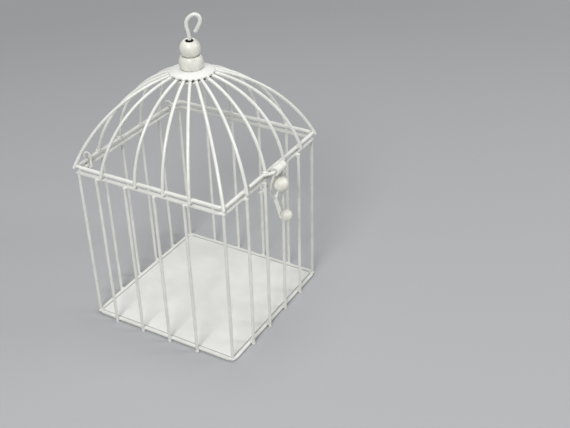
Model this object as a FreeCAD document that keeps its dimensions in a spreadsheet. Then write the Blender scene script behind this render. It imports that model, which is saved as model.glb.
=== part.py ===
"""Wire card cage with a hinged dome lid, a loop-and-ball hasp and a beaded hook.

Millimetres. +Z is up and the Z axis is the axis of the cage. The bars stand on Z = 0.
The hasp is on the front, which faces -Y, and the lid turns about its back rail, on +Y.
"""
import FreeCAD
import Part
import math
import os
import types

Vector = FreeCAD.Vector
UP = Vector(0, 0, 1)
RIGHT = Vector(1, 0, 0)
FRONT = Vector(0, -1, 0)
BACK = Vector(0, 1, 0)
LEFT = Vector(-1, 0, 0)
FACES = [("front", FRONT), ("right", RIGHT), ("back", BACK), ("left", LEFT)]
CORNERS = [("front_left", -1, -1), ("front_right", 1, -1), ("back_right", 1, 1), ("back_left", -1, 1)]
BARS_PER_FACE = 4
BEND_SHARE = 0.48  # most of a run that one bend may take up

# Driving sizes of the sheet: name, value in millimetres or degrees, meaning
SIZES = [
    ("ring_wire", 4.0, "diameter of the wire of the three rings"),
    ("bar_wire", 3.3, "diameter of the wire of the bars and ribs"),
    ("weld_gap", 0.05, "paint-thin gap between two wires that are welded together"),
    ("run_gap", 0.3, "gap between pieces that move past each other"),
    ("ring_side", 178.0, "side of the square rings, along the middle of the wire"),
    ("ring_corner", 7.0, "bend radius of the rings' corners, at the middle of the wire"),
    ("foot_length", 0.5, "length of bar below the bottom ring"),
    ("body_height", 180.4, "height of the body ring's middle"),
    ("ring_pitch", 6.4, "rise from the body ring to the lid ring"),
    ("bar_pitch", 35.6, "spacing of the bars and ribs on a face"),
    ("front_bar_pitch", 34.2, "spacing of the bars on the front face"),
    ("front_bar_shift", 2.6, "distance of the front face's bars to the left of their even places"),
    ("left_bar_shift", 7.0, "distance of the left face's bars behind their even places"),
    ("left_rib_2_shift", 6.4, "distance of the second left rib in front of its even place"),
    ("left_rib_3_shift", 4.5, "distance of the third left rib in front of its even place"),
    ("back_bar_pitch", 33.5, "spacing of the bars on the back face"),
    ("back_bar_shift", 5.3, "distance of the back face's bars to the right of their even places"),
    ("corner_bar_out", 1.0, "distance of the corner bars outside the middle of the rings' wire"),
    ("floor_thickness", 1.0, "thickness of the floor sheet"),
    ("floor_gap", 0.2, "gap between the floor sheet and the bottom ring"),
    ("dome_rise", 86.55, "rise from the lid ring to the tops of the ribs"),
    ("rib_end_gap", 1.2, "gap between the top ends of the two ribs that lie closest"),
    ("rib_top_slope", 14.0, "angle of the ribs below level at their top ends, in degrees"),
    ("side_rib_end", 5.2, "rise from the body ring's middle to the ends of the side ribs"),
    ("front_rib_end", 4.6, "rise from the body ring's middle to the ends of the front ribs"),
    ("corner_rib_end", 4.8, "rise from the body ring's middle to the ends of the corner ribs"),
    ("crown_overhang", 5.3, "reach of the domed crown plate past the ribs' top ends"),
    ("crown_thickness", 1.2, "thickness of the crown plate"),
    ("crown_seat_gap", 0.15, "gap between the crown plate and the ribs' top ends"),
    ("retainer_overhang", 4.0, "reach of the flat plate under the ribs past their top ends"),
    ("retainer_thickness", 1.2, "thickness of the flat plate under the ribs"),
    ("bead_seat_angle", 62.0, "angle from the lower bead's bottom to the crown's edge under it, in degrees"),
    ("lower_bead_diameter", 24.8, "diameter of the bead that sits in the crown"),
    ("upper_bead_diameter", 21.0, "diameter of the bead above it"),
    ("bead_pitch", 14.2, "rise from the middle of the lower bead to that of the upper"),
    ("bead_bore", 7.6, "diameter of the bore through the two beads"),
    ("hook_wire", 4.0, "diameter of the hook's wire"),
    ("hook_heading", -59.8, "direction that the eye of the hook faces along, in degrees from +X"),
    ("hook_neck_rise", 1.7, "rise from the top of the upper bead to the bend above it"),
    ("hook_left_rise", 15.3, "rise from that bend to the one at the left of the eye"),
    ("hook_left_reach", 2.7, "reach of the bend at the left of the eye"),
    ("hook_top_rise", 22.7, "rise to the bend at the top of the eye"),
    ("hook_top_reach", 5.3, "reach of the bend at the top of the eye"),
    ("hook_right_rise", 20.9, "rise to the bend at the right of the eye"),
    ("hook_right_reach", 12.7, "reach of the bend at the right of the eye"),
    ("hook_end_rise", 4.8, "rise to the free end of the eye"),
    ("hook_end_reach", 5.8, "reach of the free end of the eye"),
    ("hook_neck_bend", 12.0, "inner bend radius at the neck of the hook"),
    ("hook_eye_bend", 4.0, "inner bend radius at the left and the top of the eye"),
    ("hook_tip_bend", 1.2, "inner bend radius at the right of the eye"),
    ("shank_head_diameter", 9.0, "diameter of the head on the hook's shank"),
    ("shank_head_height", 2.0, "height of the head on the hook's shank"),
    ("hinge_wire", 2.6, "diameter of the hinge loops' wire"),
    ("hinge_play", 0.4, "gap between the hinge loops and the rails inside them"),
    ("hinge_rise", 3.5, "room inside the hinge loops above the lid rail's place"),
    ("pin_wire", 3.4, "diameter of the hasp's pin"),
    ("pin_left_end", 46.0, "reach of the pin's welded end to the left"),
    ("pin_crank_start", 21.0, "reach of the bend where the pin leaves the rail"),
    ("pin_crank_end", 12.0, "reach of the bend where the pin meets the barrel's axis"),
    ("pin_right_end", 11.0, "reach of the pin's free end to the right"),
    ("pin_bend", 3.3, "inner bend radius of the pin's two bends"),
    ("barrel_diameter", 9.6, "diameter of the hasp's barrel"),
    ("barrel_length", 17.0, "length of the hasp's barrel"),
    ("barrel_out", 8.5, "distance of the barrel's axis in front of the rail's middle"),
    ("barrel_rise", 2.1, "rise from the rail's middle to the barrel's axis"),
    ("hasp_wire", 2.4, "diameter of the hasp's wire"),
    ("hasp_leg_gap", 0.4, "gap between the hasp's leg ends and the pin above them"),
    ("hasp_waist_out", 4.3, "distance of the loop's waist in front of the rail's middle"),
    ("hasp_waist_drop", 16.9, "drop from the barrel's axis to the loop's waist"),
    ("hasp_shoulder_half", 9.5, "half width of the loop where it begins to close"),
    ("hasp_shoulder_out", 3.6, "distance of that place in front of the rail's middle"),
    ("hasp_shoulder_drop", 23.9, "drop from the barrel's axis to that place"),
    ("hasp_pair_gap", 0.4, "gap between the paired wires of the tail"),
    ("hasp_throat_out", 3.2, "distance of the closed throat in front of the rail's middle"),
    ("hasp_throat_drop", 36.3, "drop from the barrel's axis to the closed throat"),
    ("hasp_heel_out", 10.4, "distance of the tail's heel in front of the rail's middle"),
    ("hasp_heel_drop", 58.5, "drop from the barrel's axis to the tail's heel"),
    ("hasp_waist_bend", 9.0, "inner bend radius at the waist"),
    ("hasp_shoulder_bend", 5.0, "inner bend radius at the shoulder"),
    ("hasp_throat_bend", 1.8, "inner bend radius at the throat"),
    ("hasp_heel_bend", 1.0, "inner bend radius at the heel"),
    ("pull_diameter", 12.0, "diameter of the pull bead"),
    ("pull_out", 16.5, "distance of the pull bead's middle in front of the rail's middle"),
    ("pull_drop", 52.9, "drop from the barrel's axis to the pull bead's middle"),
    ("pull_fit", 0.1, "gap round the paired wires in the pull bead"),
    ("catch_diameter", 16.0, "diameter of the catch ball"),
    ("catch_out", 10.7, "distance of the catch ball's middle in front of the rail's middle"),
    ("catch_drop", 9.2, "drop from the body ring's middle to the catch ball's middle"),
    ("catch_wire", 3.0, "diameter of the catch's crossbar and stem"),
    ("catch_overhang", 8.2, "length of crossbar past the two bars that carry it"),
]

doc = FreeCAD.newDocument("card_cage")
sheet = doc.addObject("Spreadsheet::Sheet", "Sizes")
for row, (alias, value, meaning) in enumerate(SIZES, start=1):
    sheet.set(f"A{row}", meaning)
    sheet.set(f"B{row}", str(value))
    sheet.setAlias(f"B{row}", alias)
doc.recompute()
size = types.SimpleNamespace(**{alias: float(getattr(sheet, alias)) for alias, _, _ in SIZES})

# Places worked out from the driving sizes
half_side = size.ring_side / 2
ring_radius = size.ring_wire / 2
bar_radius = size.bar_wire / 2
weld_pitch = ring_radius + bar_radius + size.weld_gap
outer_line = half_side + weld_pitch
corner_on_ring = half_side - size.ring_corner + size.ring_corner / math.sqrt(2)
corner_line = corner_on_ring + size.corner_bar_out / math.sqrt(2)
base_height = size.foot_length + ring_radius
lid_height = size.body_height + size.ring_pitch
rib_top_height = lid_height + size.dome_rise
rib_top_slope = math.radians(size.rib_top_slope)
face_steps = [index - (BARS_PER_FACE - 1) / 2 for index in range(BARS_PER_FACE)]
face_offsets = [step * size.bar_pitch for step in face_steps]
rib_shifts = {"left_rib_2": size.left_rib_2_shift, "left_rib_3": size.left_rib_3_shift}
least_rib_angle = math.pi / 4 - math.atan2(face_offsets[-1], outer_line)
rib_top_reach = (size.bar_wire + size.rib_end_gap) / (2 * math.sin(least_rib_angle / 2))
hinge_reach = (face_offsets[-1] + corner_line) / 2
pin_offset = (ring_radius + size.pin_wire / 2 + size.weld_gap) / math.sqrt(2)
pair_half = (size.hasp_wire + size.hasp_pair_gap) / 2
barrel_height = lid_height + size.barrel_rise
catch_height = size.body_height - size.catch_drop

nodes = []


def keep(piece):
    """Count an object of the document as a piece of the cage, which gets its own file."""
    nodes.append(piece)
    return piece


def front_place(across, out, height):
    """A point given by its distance to the right, in front of the front rail's middle, and up."""
    return Vector(across, -half_side - out, height)


def line_edge(start, end):
    """A straight edge."""
    return Part.LineSegment(start, end).toShape()


def arc_edge(start, middle, end):
    """An arc through three points."""
    return Part.Arc(start, middle, end).toShape()


def bent_path(points, bends):
    """Straight runs through the points, with an arc at each inner point, as large as its runs allow."""
    edges = []
    here = points[0]
    for before, corner, after, wanted in zip(points, points[1:], points[2:], bends):
        room = BEND_SHARE * min(before.distanceToPoint(corner), after.distanceToPoint(corner))
        towards = (before - corner).normalize()
        away = (after - corner).normalize()
        half_angle = towards.getAngle(away) / 2
        run_off = min(wanted / math.tan(half_angle), room)
        radius = run_off * math.tan(half_angle)
        inside = (towards + away).normalize()
        start = corner + towards * run_off
        middle = corner + inside * (radius / math.sin(half_angle) - radius)
        end = corner + away * run_off
        edges.append(line_edge(here, start))
        edges.append(arc_edge(start, middle, end))
        here = end
    edges.append(line_edge(here, points[-1]))
    return edges


def rounded_square(half, corner, height):
    """The edges of a level square with rounded corners, about the Z axis."""
    flat = half - corner
    bulge = flat + corner / math.sqrt(2)
    edges = []
    for _, outward in FACES:
        along = UP.cross(outward)
        level = UP * height
        start = outward * half - along * flat + level
        end = outward * half + along * flat + level
        middle = (outward + along) * bulge + level
        finish = along * half + outward * flat + level
        edges.append(line_edge(start, end))
        edges.append(arc_edge(end, middle, finish))
    return edges


def swept_wire(label, gauge, edges):
    """A round wire of the named gauge, along a path of runs and arcs."""
    path = doc.addObject("Part::Feature", label + "_path")
    path.Shape = Part.Wire(edges)
    first = edges[0]
    section = doc.addObject("Part::Circle", label + "_section")
    section.setExpression("Radius", f"Sizes.{gauge} / 2")
    start = first.valueAt(first.FirstParameter)
    heading = first.tangentAt(first.FirstParameter)
    section.Placement = FreeCAD.Placement(start, FreeCAD.Rotation(UP, heading))
    wire = doc.addObject("Part::Sweep", label)
    wire.Sections = [section]
    wire.Spine = (path, [f"Edge{index}" for index in range(1, len(edges) + 1)])
    wire.Solid = True
    wire.Frenet = False
    return wire


def rod(label, radius, length, base, heading=UP):
    """A cylinder whose radius and length follow the sheet."""
    piece = doc.addObject("Part::Cylinder", label)
    piece.setExpression("Radius", radius)
    piece.setExpression("Height", length)
    piece.Placement = FreeCAD.Placement(base, FreeCAD.Rotation(UP, heading))
    return piece


def ball(label, radius, centre):
    """A sphere whose radius follows the sheet."""
    piece = doc.addObject("Part::Sphere", label)
    piece.setExpression("Radius", radius)
    piece.Placement = FreeCAD.Placement(centre, FreeCAD.Rotation())
    return piece


def cut(label, base, tool):
    """The base less the tool."""
    piece = doc.addObject("Part::Cut", label)
    piece.Base = base
    piece.Tool = tool
    return piece


def common(label, base, tool):
    """What the base and the tool share."""
    piece = doc.addObject("Part::Common", label)
    piece.Base = base
    piece.Tool = tool
    return piece


def fuse(label, pieces):
    """Several tools joined into one."""
    piece = doc.addObject("Part::MultiFuse", label)
    piece.Shapes = pieces
    return piece


# Cage body

def add_rings():
    """The bottom ring and body ring of the cage, and the ring of the lid."""
    heights = {"bottom_ring": base_height, "body_ring": size.body_height, "lid_ring": lid_height}
    for label, height in heights.items():
        keep(swept_wire(label, "ring_wire", rounded_square(half_side, size.ring_corner, height)))


def add_floor():
    """The floor sheet, let in flush between the sides of the bottom ring."""
    inset = ring_radius + size.floor_gap
    level = base_height - size.floor_thickness / 2
    outline = doc.addObject("Part::Feature", "floor_outline")
    outline.Shape = Part.Wire(rounded_square(half_side - inset, size.ring_corner - inset, level))
    floor = keep(doc.addObject("Part::Extrusion", "floor_panel"))
    floor.Base = outline
    floor.Dir = UP
    floor.setExpression("LengthFwd", "Sizes.floor_thickness")
    floor.Solid = True


def corner_cope(label, across, back, height):
    """A tool that fits a wire to the bend of a ring's corner."""
    tool = doc.addObject("Part::Torus", label)
    tool.setExpression("Radius1", "Sizes.ring_corner")
    tool.setExpression("Radius2", "Sizes.ring_wire / 2 + Sizes.weld_gap")
    centre = half_side - size.ring_corner
    tool.Placement = FreeCAD.Placement(Vector(across * centre, back * centre, height), FreeCAD.Rotation())
    return tool


def add_bars():
    """The face bars, welded to the outside of the bottom and body rings, up to the body ring's middle."""
    pitches = {"front": size.front_bar_pitch, "back": size.back_bar_pitch}
    shifts = {"front": LEFT * size.front_bar_shift, "back": RIGHT * size.back_bar_shift,
              "left": BACK * size.left_bar_shift}
    for face, outward in FACES:
        along = UP.cross(outward)
        row_middle = outward * outer_line + shifts.get(face, Vector())
        for number, step in enumerate(face_steps, start=1):
            place = row_middle + along * (step * pitches.get(face, size.bar_pitch))
            keep(rod(f"{face}_bar_{number}", "Sizes.bar_wire / 2", "Sizes.body_height", place))


def add_corner_bars():
    """The corner bars, coped at both ends to stand between the corners of the bottom and body rings."""
    for corner, across, back in CORNERS:
        label = f"corner_bar_{corner}"
        blank = rod(label + "_blank", "Sizes.bar_wire / 2", f"Sizes.body_height - {base_height}",
                    Vector(across * corner_line, back * corner_line, base_height))
        copes = [corner_cope(f"{label}_{end}_cope", across, back, height)
                 for end, height in [("lower", base_height), ("upper", size.body_height)]]
        keep(cut(label, blank, fuse(label + "_copes", copes)))


def add_hinge_loops():
    """Two closed wire loops that hold the lid's back rail over the body ring."""
    radius = ring_radius + size.hinge_play + size.hinge_wire / 2
    low = size.body_height
    high = lid_height + size.hinge_rise
    for side, across in [("left", -hinge_reach), ("right", hinge_reach)]:
        inner = half_side - radius
        outer = half_side + radius
        edges = [
            line_edge(Vector(across, outer, low), Vector(across, outer, high)),
            arc_edge(Vector(across, outer, high), Vector(across, half_side, high + radius),
                     Vector(across, inner, high)),
            line_edge(Vector(across, inner, high), Vector(across, inner, low)),
            arc_edge(Vector(across, inner, low), Vector(across, half_side, low - radius),
                     Vector(across, outer, low)),
        ]
        keep(swept_wire(f"hinge_loop_{side}", "hinge_wire", edges))


def add_catch():
    """The catch ball, on a stem from a crossbar behind the two middle front bars."""
    crossbar_out = weld_pitch - bar_radius - size.catch_wire / 2 - size.weld_gap
    crossbar_end = size.bar_pitch / 2 + size.catch_overhang
    keep(rod("catch_crossbar", "Sizes.catch_wire / 2", "Sizes.bar_pitch + 2 * Sizes.catch_overhang",
             front_place(-crossbar_end, crossbar_out, catch_height), RIGHT))
    stem_out = crossbar_out + size.catch_wire / 2 + size.weld_gap
    keep(rod("catch_stem", "Sizes.catch_wire / 2", f"Sizes.catch_out - {stem_out}",
             front_place(0, stem_out, catch_height), FRONT))
    whole = ball("catch_whole", "Sizes.catch_diameter / 2", front_place(0, size.catch_out, catch_height))
    socket = rod("catch_socket", "Sizes.catch_wire / 2 + Sizes.weld_gap", "Sizes.catch_diameter",
                 front_place(0, size.catch_out + size.weld_gap, catch_height), BACK)
    keep(cut("catch_ball", whole, socket))


# Lid

def rib_arc(foot_reach, foot_height, end_height):
    """A rib's arc in its upright plane: reach and height of its centre, radius and end angle from up."""
    out = foot_reach - rib_top_reach
    down = rib_top_height - foot_height
    turn = 2 * (math.atan2(down, out) - rib_top_slope)
    radius = math.hypot(out, down) / (2 * math.sin(turn / 2))
    centre_reach = rib_top_reach - radius * math.sin(rib_top_slope)
    centre_height = rib_top_height - radius * math.cos(rib_top_slope)
    end_angle = math.acos((end_height - centre_height) / radius)
    return centre_reach, centre_height, radius, end_angle


def add_rib(label, foot, foot_height, end_height):
    """One rib, bent to an arc in the upright plane of its foot and the axis."""
    centre_reach, centre_height, radius, end_angle = rib_arc(foot.Length, foot_height, end_height)
    outward = Vector(foot).normalize()
    start = outward * math.sin(rib_top_slope) + UP * math.cos(rib_top_slope)
    heading = outward * math.cos(rib_top_slope) - UP * math.sin(rib_top_slope)
    rib = doc.addObject("Part::Torus", label)
    rib.Radius1 = radius
    rib.setExpression("Radius2", "Sizes.bar_wire / 2")
    rib.Angle3 = math.degrees(end_angle - rib_top_slope)
    rib.Placement = FreeCAD.Placement(outward * centre_reach + UP * centre_height,
                                      FreeCAD.Rotation(start, heading, start.cross(heading), "XYZ"))
    return rib


def rib_foot(place, outward):
    """Middle of a rib's foot, where the rib leans on the outside of the lid ring at the given place."""
    upright = place + outward * weld_pitch
    end_angle = rib_arc(upright.Length, lid_height, lid_height)[3]
    squareness = Vector(upright).normalize().dot(outward)
    lean = math.hypot(1, squareness / math.tan(end_angle))
    return place + outward * (weld_pitch * lean)


def standing_end(foot, level):
    """Height of the middle of a rib's end, where the rib, cut square, stands on the given level."""
    end_angle = rib_arc(foot.Length, lid_height, level)[3]
    return level + bar_radius * abs(math.cos(end_angle))


def add_ribs():
    """The ribs that fan out from the crown to the sides and corners of the lid ring."""
    rail = rod("back_rail_cope", "Sizes.ring_wire / 2 + Sizes.weld_gap", "Sizes.ring_side",
               Vector(-half_side, half_side, lid_height), RIGHT)
    ends = {"front": size.front_rib_end, "right": size.side_rib_end, "left": size.side_rib_end}
    pin_top = lid_height + pin_offset + size.pin_wire / 2 + size.weld_gap
    pin_left = -size.pin_left_end - weld_pitch
    for face, outward in FACES:
        along = UP.cross(outward)
        for number, offset in enumerate(face_offsets, start=1):
            label = f"{face}_rib_{number}"
            place = outward * half_side + along * (offset + rib_shifts.get(label, 0))
            if face == "back":
                blank = add_rib(label + "_blank", place, lid_height + ring_radius, lid_height)
                keep(cut(label, blank, rail))
                continue
            foot = rib_foot(place, outward)
            stands_on_pin = face == "front" and pin_left < offset < 0
            end_height = standing_end(foot, pin_top) if stands_on_pin else size.body_height + ends[face]
            keep(add_rib(label, foot, lid_height, end_height))
    for corner, across, back in CORNERS:
        outward = Vector(across, back, 0).normalize()
        foot = rib_foot(Vector(across, back, 0) * corner_on_ring, outward)
        keep(add_rib(f"corner_rib_{corner}", foot, lid_height, size.body_height + size.corner_rib_end))


def crown_centre_height():
    """Height of the centre of the crown plate's spherical underside."""
    seat_reach = rib_top_reach + bar_radius * math.sin(rib_top_slope)
    seat_height = rib_top_height + bar_radius * math.cos(rib_top_slope)
    return seat_height - seat_reach / math.tan(rib_top_slope)


def crown_under_radius():
    """Radius of the crown plate's spherical underside, which rests on the ribs' top ends."""
    seat_reach = rib_top_reach + bar_radius * math.sin(rib_top_slope)
    return seat_reach / math.sin(rib_top_slope) + size.crown_seat_gap


def crown_hole_radius():
    """Radius of the crown plate's hole, on whose edge the lower bead sits."""
    seat = size.lower_bead_diameter / 2 + size.run_gap
    return seat * math.sin(math.radians(size.bead_seat_angle))


def add_crown():
    """The domed plate over the ribs' top ends, with the hole that the lower bead sits in."""
    centre = UP * crown_centre_height()
    under = crown_under_radius()
    outer = ball("crown_outer", f"{under} + Sizes.crown_thickness", centre)
    inner = ball("crown_inner", f"{under}", centre)
    shell = cut("crown_shell", outer, inner)
    core_length = f"{under} + 2 * Sizes.crown_thickness"
    rim = rod("crown_rim", f"{rib_top_reach} + Sizes.crown_overhang", core_length, centre)
    hole = rod("crown_bore", f"{crown_hole_radius()}", core_length, centre)
    disc = common("crown_disc", shell, rim)
    keep(cut("crown_plate", disc, hole))


def retainer_top():
    """Height of the flat plate that is held up against the undersides of the ribs."""
    reach = rib_top_reach + size.retainer_overhang
    undersides = []
    corner_reach = corner_on_ring * math.sqrt(2) + weld_pitch
    for foot_reach in [half_side, math.hypot(outer_line, face_offsets[-1]), corner_reach]:
        centre_reach, centre_height, radius, _ = rib_arc(foot_reach, lid_height, lid_height)
        rise = math.sqrt((radius - bar_radius) ** 2 - (reach - centre_reach) ** 2)
        undersides.append(centre_height + rise)
    return min(undersides) - size.weld_gap


def add_retainer():
    """The flat plate under the ribs, which the hook's shank passes through."""
    base = UP * (retainer_top() - size.retainer_thickness)
    disc = rod("retainer_disc", f"{rib_top_reach} + Sizes.retainer_overhang",
               "Sizes.retainer_thickness", base)
    hole = rod("retainer_bore", "Sizes.hook_wire / 2 + Sizes.run_gap", "Sizes.retainer_thickness", base)
    keep(cut("retaining_plate", disc, hole))


def add_latch_pin():
    """The hasp's pin: welded along the front rail, then cranked out to the barrel's axis."""
    rail_height = lid_height + pin_offset
    points = [
        front_place(-size.pin_left_end, pin_offset, rail_height),
        front_place(-size.pin_crank_start, pin_offset, rail_height),
        front_place(-size.pin_crank_end, size.barrel_out, barrel_height),
        front_place(size.pin_right_end, size.barrel_out, barrel_height),
    ]
    bend = size.pin_wire / 2 + size.pin_bend
    keep(swept_wire("latch_pin", "pin_wire", bent_path(points, [bend, bend])))


# Hasp

def add_barrel():
    """The tube that turns on the pin."""
    base = front_place(-size.barrel_length / 2, size.barrel_out, barrel_height)
    tube = rod("barrel_tube", "Sizes.barrel_diameter / 2", "Sizes.barrel_length", base, RIGHT)
    bore = rod("barrel_bore", "Sizes.pin_wire / 2 + Sizes.run_gap", "Sizes.barrel_length", base, RIGHT)
    keep(cut("hasp_barrel", tube, bore))


def hasp_side():
    """Points of one side of the hasp's wire, from the barrel's end to the middle of the pull bead."""
    leg_half = (size.barrel_length + size.hasp_wire) / 2 + size.weld_gap
    leg_drop = size.pin_wire / 2 + size.hasp_leg_gap
    return [
        (leg_half, size.barrel_out, leg_drop),
        (leg_half, size.hasp_waist_out, size.hasp_waist_drop),
        (size.hasp_shoulder_half, size.hasp_shoulder_out, size.hasp_shoulder_drop),
        (pair_half, size.hasp_throat_out, size.hasp_throat_drop),
        (pair_half, size.hasp_heel_out, size.hasp_heel_drop),
        (pair_half, size.pull_out, size.pull_drop),
    ]


def add_hasp_wire():
    """One wire bent to a loop that closes to a paired tail, which turns up into the pull bead."""
    side = hasp_side()
    right = [front_place(across, out, barrel_height - drop) for across, out, drop in side]
    left = [front_place(-across, out, barrel_height - drop) for across, out, drop in reversed(side)]
    inner_bends = [size.hasp_waist_bend, size.hasp_shoulder_bend, size.hasp_throat_bend, size.hasp_heel_bend]
    bends = [size.hasp_wire / 2 + bend for bend in inner_bends]
    bends = bends + [pair_half, pair_half] + bends[::-1]
    keep(swept_wire("hasp_loop", "hasp_wire", bent_path(right + left, bends)))


def add_pull_bead():
    """The bead at the end of the hasp's tail, with a blind hole for the paired wires."""
    centre = front_place(0, size.pull_out, barrel_height - size.pull_drop)
    heel = front_place(0, size.hasp_heel_out, barrel_height - size.hasp_heel_drop)
    outward = (heel - centre).normalize()
    whole = ball("pull_whole", "Sizes.pull_diameter / 2", centre)
    hole_floor = centre - outward * (size.hasp_wire / 2 + size.pull_fit)
    hole = rod("pull_hole", "Sizes.hasp_wire + Sizes.hasp_pair_gap / 2 + Sizes.pull_fit",
               "Sizes.pull_diameter", hole_floor, outward)
    keep(cut("pull_bead", whole, hole))


# Finial

def lower_bead_height():
    """Height of the lower bead's middle, where it sits on the edge of the crown's hole."""
    top_radius = crown_under_radius() + size.crown_thickness
    edge_height = crown_centre_height() + math.sqrt(top_radius ** 2 - crown_hole_radius() ** 2)
    seat = size.lower_bead_diameter / 2 + size.run_gap
    return edge_height + seat * math.cos(math.radians(size.bead_seat_angle))


def add_beads():
    """The two beads of the finial: the upper one sits in a hollow in the top of the lower one."""
    lower_place = UP * lower_bead_height()
    upper_place = lower_place + UP * size.bead_pitch
    bore_base = lower_place - UP * size.lower_bead_diameter
    bore_length = "2 * Sizes.lower_bead_diameter + Sizes.bead_pitch + Sizes.upper_bead_diameter"
    bore = rod("bead_bore_core", "Sizes.bead_bore / 2", bore_length, bore_base)
    hollow = ball("bead_hollow", "Sizes.upper_bead_diameter / 2 + Sizes.run_gap", upper_place)
    lower = ball("lower_bead_whole", "Sizes.lower_bead_diameter / 2", lower_place)
    upper = ball("upper_bead_whole", "Sizes.upper_bead_diameter / 2", upper_place)
    keep(cut("lower_bead", lower, fuse("lower_bead_hollows", [bore, hollow])))
    keep(cut("upper_bead", upper, bore))


def add_hook():
    """The hook: a shank through the beads and plates, bent to an open eye above them."""
    bead_top = lower_bead_height() + size.bead_pitch + size.upper_bead_diameter / 2
    neck = bead_top + size.hook_neck_rise
    heading = math.radians(size.hook_heading)
    along = Vector(math.cos(heading), math.sin(heading), 0)
    head_top = retainer_top() - size.retainer_thickness - size.run_gap
    points = [
        UP * head_top,
        UP * neck,
        along * -size.hook_left_reach + UP * (neck + size.hook_left_rise),
        along * size.hook_top_reach + UP * (neck + size.hook_top_rise),
        along * size.hook_right_reach + UP * (neck + size.hook_right_rise),
        along * size.hook_end_reach + UP * (neck + size.hook_end_rise),
    ]
    inner_bends = [size.hook_neck_bend, size.hook_eye_bend, size.hook_eye_bend, size.hook_tip_bend]
    bends = [size.hook_wire / 2 + bend for bend in inner_bends]
    keep(swept_wire("hook", "hook_wire", bent_path(points, bends)))
    keep(rod("shank_head", "Sizes.shank_head_diameter / 2", "Sizes.shank_head_height",
             UP * (head_top - size.shank_head_height)))


def write_nodes():
    """Check every object and write each piece to its own file."""
    for thing in doc.Objects:
        if {"Invalid", "Error"} & set(thing.State):
            raise RuntimeError(f"{thing.Label} did not compute: {thing.State}")
    for piece in nodes:
        if piece.Shape.isNull() or not piece.Shape.isValid() or len(piece.Shape.Solids) != 1:
            raise RuntimeError(f"{piece.Label} is not one valid solid")
    os.makedirs("parts", exist_ok=True)
    for piece in nodes:
        piece.Shape.exportStep(f"parts/{piece.Label}.step")


add_rings()
add_floor()
add_bars()
add_corner_bars()
add_hinge_loops()
add_catch()
add_ribs()
add_crown()
add_retainer()
add_latch_pin()
add_barrel()
add_hasp_wire()
add_pull_bead()
add_beads()
add_hook()
doc.recompute()
write_nodes()
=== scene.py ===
"""Looks of an enamelled wire card cage with a dome lid, a loop-and-ball hasp and a beaded hook."""
import bmesh
import bpy
import math
import random
from mathutils import Matrix, Vector, noise
from mathutils.geometry import interpolate_bezier


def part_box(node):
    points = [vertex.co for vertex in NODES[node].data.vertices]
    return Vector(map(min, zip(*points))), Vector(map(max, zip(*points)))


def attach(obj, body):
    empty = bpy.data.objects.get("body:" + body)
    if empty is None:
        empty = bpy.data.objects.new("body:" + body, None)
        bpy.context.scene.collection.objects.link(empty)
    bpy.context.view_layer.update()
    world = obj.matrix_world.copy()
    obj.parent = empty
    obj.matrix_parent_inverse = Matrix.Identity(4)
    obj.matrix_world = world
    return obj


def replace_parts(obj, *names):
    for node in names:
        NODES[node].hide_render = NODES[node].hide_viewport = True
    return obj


bl_info = {
    "name": "Wire Card Cage",
    "version": (1, 0, 0),
    "blender": (4, 5, 0),
    "location": "3D View > Sidebar > Card Cage",
    "description": "Paints the wire cage, lays its welds, turns its beads and sets the studio",
    "category": "Object",
}

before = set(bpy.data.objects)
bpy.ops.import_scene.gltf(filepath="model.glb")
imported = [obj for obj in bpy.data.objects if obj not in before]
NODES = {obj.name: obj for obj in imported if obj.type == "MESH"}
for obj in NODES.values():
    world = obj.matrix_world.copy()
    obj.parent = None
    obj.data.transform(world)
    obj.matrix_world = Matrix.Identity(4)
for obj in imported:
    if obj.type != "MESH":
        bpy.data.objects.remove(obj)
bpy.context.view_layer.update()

MM = 0.001
UP = Vector((0, 0, 1))
RIGHT = Vector((1, 0, 0))
FRONT = Vector((0, -1, 0))
BACK = Vector((0, 1, 0))

# Steps of the meshes
SPIN_STEPS = 72
BALL_STEPS = 40
LIP_STEPS = 7
RIDGE_STEPS = 8
PATH_STEPS = 8
END_STEPS = 4
WIRE_SIDES = 20
LUMP_DIVISIONS = 3
MERGE_DISTANCE = 1e-6

# A smooth line's handle is one of this many parts of the chord past its point
HANDLE_PARTS = 6

# The hook's softened end: how far its edge turns in, and how many times deeper a round end would be
END_TURN = math.radians(80)
END_FLATNESS = 3

# Least cosine between the headings of two faces of one flat cut
FLATNESS = 0.995

# Welds: seed, lumps, shares along the pin and down the barrel, and runs of paint on the tail
WELD_SEED = 11
LUMPS_PER_METRE = 320
PIN_TACKS = (0.08, 0.36, 0.64)
LEG_DROP = 2 / 3
TAIL_RUNS = 10

# Kinds of weld and paint, by their shares of the set sizes
CORNER_WELD = {"depth": 1.2}
BASE_WELD = {"length": 0.8}
FOOT_DROP = {"depth": 0.6}
CROWN_WELD = {"reach": 0.9}
PIN_TACK = {"reach": 0.8, "length": 1.6}
LOOP_WELD = {"reach": 0.85}
CROSSBAR_WELD = {"reach": 1.05}
STEM_WELD = {"reach": 0.9}
LEG_WELD = {"reach": 0.7, "depth": 0.8}
TAIL_RUN = {"reach": 0.38, "length": 4.5}

# Where painted shade begins: in from the floor sheet's edge, out from a bead's bore, and up and down the
# hook
SEAM_SHADE_START = 1.5 * MM
SEAM_SHADE_FULL = 0.7 * MM
BORE_START = 0.4 * MM
BORE_FULL = 0.15 * MM
HOOK_FADE = 0.3 * MM

# Places of the colour sockets on a Mix node
MIX_FIRST = 6
MIX_SECOND = 7
MIX_RESULT = 2

# Width of the camera's sensor in millimetres
SENSOR_WIDTH = 36.0

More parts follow.
